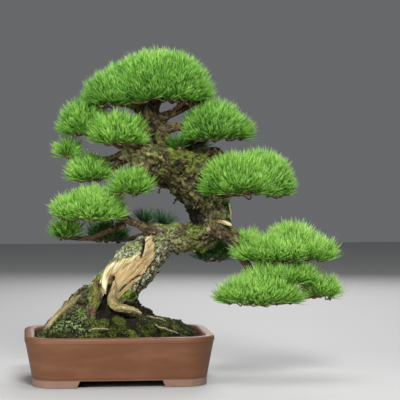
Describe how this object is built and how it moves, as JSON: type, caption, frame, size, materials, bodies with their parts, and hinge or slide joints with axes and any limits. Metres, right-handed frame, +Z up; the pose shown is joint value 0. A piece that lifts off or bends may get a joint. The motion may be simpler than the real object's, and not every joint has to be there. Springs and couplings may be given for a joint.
{
  "type": "potted pine bonsai",
  "caption": "Bonsai pine with a leaning S-shaped trunk, a dead-wood flank and layered needle pads, in a footed rounded rectangular clay pot.",
  "frame": {"origin": "middle of the whole plant's footprint box, on the plane the pot's feet stand on", "axes": "+X along the pot's long side, towards the side the branches overhang; +Y from the viewing front to the back; +Z up"},
  "size_m": [0.6968, 0.3194, 0.717],
  "materials": {
    "clay": "unglazed fired clay, matt with a soft sheen on the rim",
    "soil": "damp granular soil, rough",
    "moss": "soft low moss",
    "screen_plastic": "black plastic mesh",
    "wire": "annealed aluminium wire",
    "bark": "flaky bark with lichen and a flank of bleached dead wood",
    "twig_bark": "scaly brown twig bark",
    "needles": "glossy green needles"
  },
  "bodies": {
    "root": {"pot": "clay", "drain_screen_left": "screen_plastic", "screen_clip_left": "wire", "drain_screen_right": "screen_plastic", "screen_clip_right": "wire", "trunk": "bark", "soil": "soil", "moss_front": "moss", "moss_right": "moss", "moss_left": "moss", "moss_far_right": "moss", "moss_back": "moss", "stray_root_front_left": "twig_bark", "stray_root_front_right": "twig_bark", "stray_root_right": "twig_bark", "branch_crown_left": "twig_bark", "branch_crown_right": "twig_bark", "branch_crown_back": "twig_bark", "branch_upper_left": "twig_bark", "branch_upper_left_front": "twig_bark", "branch_left_small": "twig_bark", "branch_left_mid": "twig_bark", "branch_left_mid_front": "twig_bark", "branch_left_lower": "twig_bark", "branch_left_lowest": "twig_bark", "branch_left_back": "twig_bark", "branch_left_inner": "twig_bark", "branch_right_upper": "twig_bark", "branch_right_mid": "twig_bark", "branch_right_mid_upper": "twig_bark", "branch_right_low": "twig_bark", "branch_right_lowest": "twig_bark", "branch_back_low": "twig_bark", "branch_back_mid": "twig_bark", "branch_back_upper": "twig_bark", "pad_crown": "needles", "pad_crown_left": "needles", "pad_upper_left": "needles", "pad_upper_left_front": "needles", "pad_left_small": "needles", "pad_left_mid": "needles", "pad_left_mid_front": "needles", "pad_left_lower": "needles", "pad_left_lowest": "needles", "pad_left_back": "needles", "pad_left_inner": "needles", "pad_right_upper": "needles", "pad_right_mid": "needles", "pad_right_low": "needles", "pad_right_lowest": "needles", "pad_back_low": "needles", "pad_back_mid": "needles", "pad_back_upper": "needles", "pad_right_lowest_back": "needles", "pad_right_lowest_tip": "needles"}
  },
  "joints": []
}
